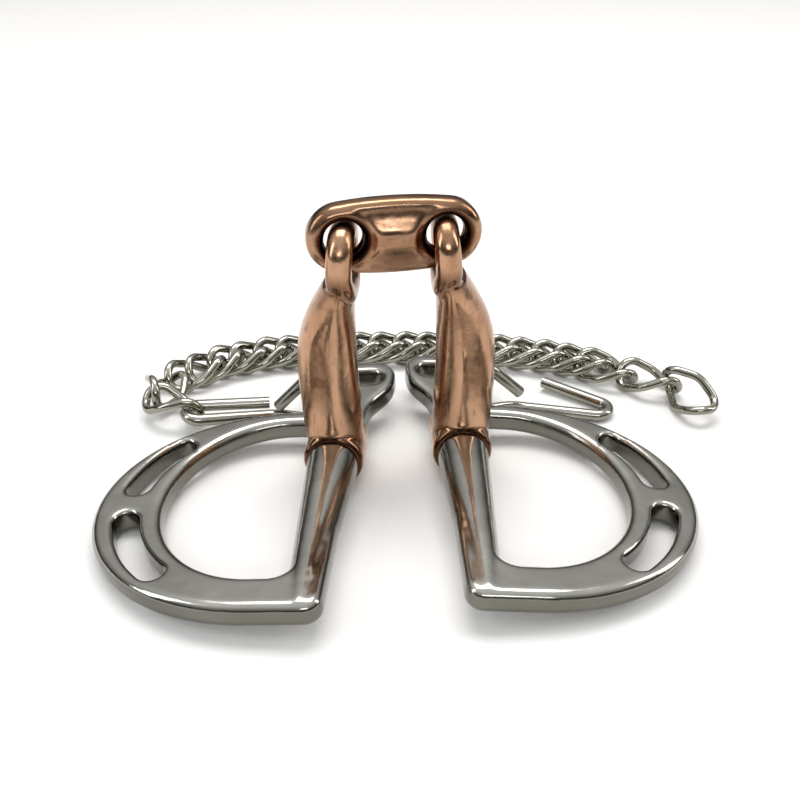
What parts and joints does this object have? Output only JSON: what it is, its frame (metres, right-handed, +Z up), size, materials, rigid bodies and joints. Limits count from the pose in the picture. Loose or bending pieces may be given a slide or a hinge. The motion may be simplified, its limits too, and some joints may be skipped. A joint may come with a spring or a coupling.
{
  "type": "curb bit",
  "caption": "Horse curb bit with slotted D-shaped steel cheeks, a hinged copper mouthpiece with an oval centre link, wire curb hooks and a twisted-link curb chain.",
  "frame": {"origin": "on the table under the middle of the whole laid-out bit", "axes": "+Z up from the table, +X to the right across the two cheeks, +Y away along the cheek bars towards the eyes and the chain"},
  "size_m": [0.1574, 0.1242, 0.0719],
  "materials": {
    "steel": "polished stainless steel",
    "copper": "polished copper with light brown tarnish",
    "chain_steel": "bright plated wire"
  },
  "bodies": {
    "centre_link": {"centre_link": "copper"},
    "left_arm": {"left_mouth_arm": "copper"},
    "right_arm": {"right_mouth_arm": "copper"},
    "left_cheek": {"left_cheek": "steel", "left_hinge_pin": "steel"},
    "right_cheek": {"right_cheek": "steel", "right_hinge_pin": "steel"},
    "left_hook": {"left_curb_hook": "steel"},
    "right_hook": {"right_curb_hook": "steel"},
    "hook_link": {"hook_link": "chain_steel"},
    "lead_link": {"lead_link": "chain_steel"},
    "pair_01": {"chain_01_a": "chain_steel", "chain_01_b": "chain_steel"},
    "pair_02": {"chain_02_a": "chain_steel", "chain_02_b": "chain_steel"},
    "pair_03": {"chain_03_a": "chain_steel", "chain_03_b": "chain_steel"},
    "pair_04": {"chain_04_a": "chain_steel", "chain_04_b": "chain_steel"},
    "pair_05": {"chain_05_a": "chain_steel", "chain_05_b": "chain_steel"},
    "pair_06": {"chain_06_a": "chain_steel", "chain_06_b": "chain_steel"},
    "pair_07": {"chain_07_a": "chain_steel", "chain_07_b": "chain_steel"},
    "pair_08": {"chain_08_a": "chain_steel", "chain_08_b": "chain_steel"},
    "pair_09": {"chain_09_a": "chain_steel", "chain_09_b": "chain_steel"},
    "tail_link_1": {"tail_link_1": "chain_steel"},
    "tail_link_2": {"tail_link_2": "chain_steel"},
    "tail_link_3": {"tail_link_3": "chain_steel"}
  },
  "joints": [
    {"name": "left_link_joint", "type": "hinge", "parent": "centre_link", "child": "left_arm", "pos_m": [-0.02051, -0.00144, 0.06331], "axis": [-0.1741, 0.9847, 0], "range_deg": [0, 95]},
    {"name": "right_link_joint", "type": "hinge", "parent": "centre_link", "child": "right_arm", "pos_m": [0.00224, 0.00259, 0.06317], "axis": [0.1741, -0.9847, 0], "range_deg": [0, 95]},
    {"name": "left_cheek_hinge", "type": "hinge", "parent": "left_arm", "child": "left_cheek", "pos_m": [-0.02359, -0.00121, 0.0074], "axis": [0.0732, 0.9973, 0], "range_deg": [-100, 65]},
    {"name": "right_cheek_hinge", "type": "hinge", "parent": "right_arm", "child": "right_cheek", "pos_m": [0.00728, 0.00282, 0.0074], "axis": [0.0471, -0.9989, 0], "range_deg": [-100, 65]},
    {"name": "left_hook_joint", "type": "hinge", "parent": "left_cheek", "child": "left_hook", "pos_m": [-0.02217, 0.01814, 0.0074], "axis": [-0.0732, -0.9973, 0], "range_deg": [-1, 8]},
    {"name": "right_hook_joint", "type": "hinge", "parent": "right_cheek", "child": "right_hook", "pos_m": [0.00637, 0.0222, 0.0074], "axis": [-0.0471, 0.9989, 0], "range_deg": [-2, 8]},
    {"name": "hook_link_joint", "type": "hinge", "parent": "left_hook", "child": "hook_link", "pos_m": [-0.06483, 0.01885, 0.0052], "axis": [0, 1, 0], "range_deg": [-6, 6]},
    {"name": "lead_link_joint", "type": "hinge", "parent": "hook_link", "child": "lead_link", "pos_m": [-0.07093, 0.0268, 0.00515], "axis": [0, 0, 1], "range_deg": [-2, 4]},
    {"name": "pair_01_joint", "type": "hinge", "parent": "lead_link", "child": "pair_01", "pos_m": [-0.06933, 0.03993, 0.00393], "axis": [0.6018, -0.7986, 0], "range_deg": [-8, 8]},
    {"name": "pair_02_joint", "type": "hinge", "parent": "pair_01", "child": "pair_02", "pos_m": [-0.05838, 0.04818, 0.00393], "axis": [0.4772, -0.8788, 0], "range_deg": [-4, 4]},
    {"name": "pair_03_joint", "type": "hinge", "parent": "pair_02", "child": "pair_03", "pos_m": [-0.04551, 0.05287, 0.00393], "axis": [-0.2419, 0.9703, 0], "range_deg": [-10, 10]},
    {"name": "pair_04_joint", "type": "hinge", "parent": "pair_03", "child": "pair_04", "pos_m": [-0.03194, 0.05477, 0.00393], "axis": [0.1045, -0.9945, 0], "range_deg": [-12, 12]},
    {"name": "pair_05_joint", "type": "hinge", "parent": "pair_04", "child": "pair_05", "pos_m": [-0.01828, 0.05573, 0.00393], "axis": [-0.0436, 0.999, 0], "range_deg": [-12, 12]},
    {"name": "pair_06_joint", "type": "hinge", "parent": "pair_05", "child": "pair_06", "pos_m": [-0.00458, 0.05597, 0.00393], "axis": [-0.0087, -1, 0], "range_deg": [-12, 12]},
    {"name": "pair_07_joint", "type": "hinge", "parent": "pair_06", "child": "pair_07", "pos_m": [0.00911, 0.05549, 0.00393], "axis": [0.0785, 0.9969, 0], "range_deg": [-12, 12]},
    {"name": "pair_08_joint", "type": "hinge", "parent": "pair_07", "child": "pair_08", "pos_m": [0.02271, 0.05382, 0.00393], "axis": [-0.1822, -0.9833, 0], "range_deg": [-12, 12]},
    {"name": "pair_09_joint", "type": "hinge", "parent": "pair_08", "child": "pair_09", "pos_m": [0.036, 0.05051, 0.00393], "axis": [0.2924, 0.9563, 0], "range_deg": [-12, 12]},
    {"name": "tail_1_joint", "type": "hinge", "parent": "pair_09", "child": "tail_link_1", "pos_m": [0.04888, 0.04582, 0.00393], "axis": [-0.342, -0.9397, 0], "range_deg": [-2, 10]},
    {"name": "tail_2_joint", "type": "hinge", "parent": "tail_link_1", "child": "tail_link_2", "pos_m": [0.05702, 0.04035, 0.004], "axis": [0.454, 0.891, 0], "range_deg": [-10, 10]},
    {"name": "tail_3_joint", "type": "hinge", "parent": "tail_link_2", "child": "tail_link_3", "pos_m": [0.06682, 0.0327, 0.0047], "axis": [0, 0, 1], "range_deg": [-6, 6]}
  ]
}
